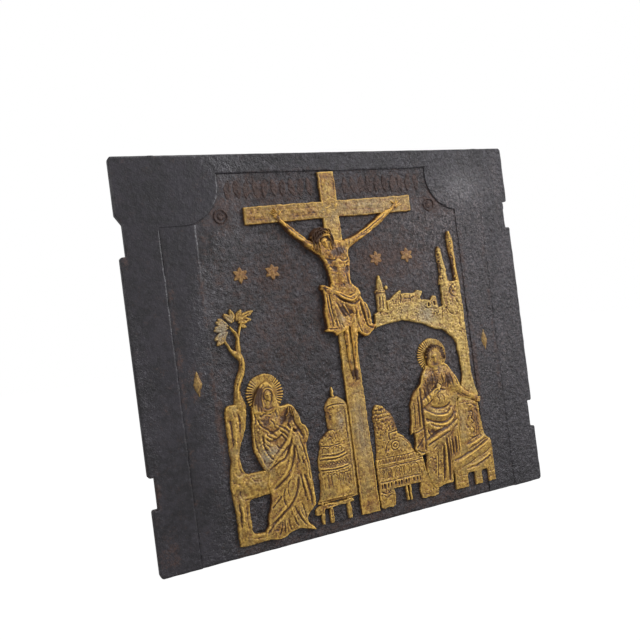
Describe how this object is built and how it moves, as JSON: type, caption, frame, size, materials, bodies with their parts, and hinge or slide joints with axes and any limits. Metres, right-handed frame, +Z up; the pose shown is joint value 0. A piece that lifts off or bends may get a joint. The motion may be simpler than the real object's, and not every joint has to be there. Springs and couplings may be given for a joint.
{
  "type": "stove plate",
  "caption": "Flat cast-iron stove plate with edge notches, a raised border and a gilded Crucifixion scene in low relief.",
  "frame": {"origin": "the centre of the flat back face", "axes": "+Y out of the back into the wall, so the relief faces -Y; +Z up; +X to the viewer's right"},
  "size_m": [0.69, 0.024, 0.6],
  "materials": {
    "black_iron": "stove-blacked, worn",
    "rusty_iron": "worn, rusty brown",
    "rubbed_gold": "gold paint rubbed down to brown",
    "gold_paint": "old gold paint with a brown glaze in the hollows",
    "pale_gold": "thin, greyed gold paint"
  },
  "bodies": {
    "root": {"ground_plate": "black_iron", "left_border": "black_iron", "right_border": "black_iron", "top_border": "black_iron", "left_step": "black_iron", "right_step": "black_iron", "left_spandrel": "black_iron", "right_spandrel": "black_iron", "leaf_frieze": "rusty_iron", "roundels": "rusty_iron", "rosettes": "rubbed_gold", "lozenges": "rubbed_gold", "cross_post": "gold_paint", "cross_beam": "gold_paint", "crucified_figure": "gold_paint", "loincloth": "gold_paint", "rock_seat": "gold_paint", "tree_trunk": "gold_paint", "left_mourner": "gold_paint", "left_halo": "gold_paint", "domed_tower": "gold_paint", "tower_trestle": "gold_paint", "domed_church": "gold_paint", "church_arcade": "gold_paint", "right_mourner": "gold_paint", "right_halo": "gold_paint", "draped_block": "gold_paint", "bridge_piers": "gold_paint", "arch_pillar": "gold_paint", "arch_wall": "gold_paint", "gate_turret": "gold_paint", "left_spire": "gold_paint", "right_spire": "gold_paint", "tree_foliage": "pale_gold"}
  },
  "joints": []
}
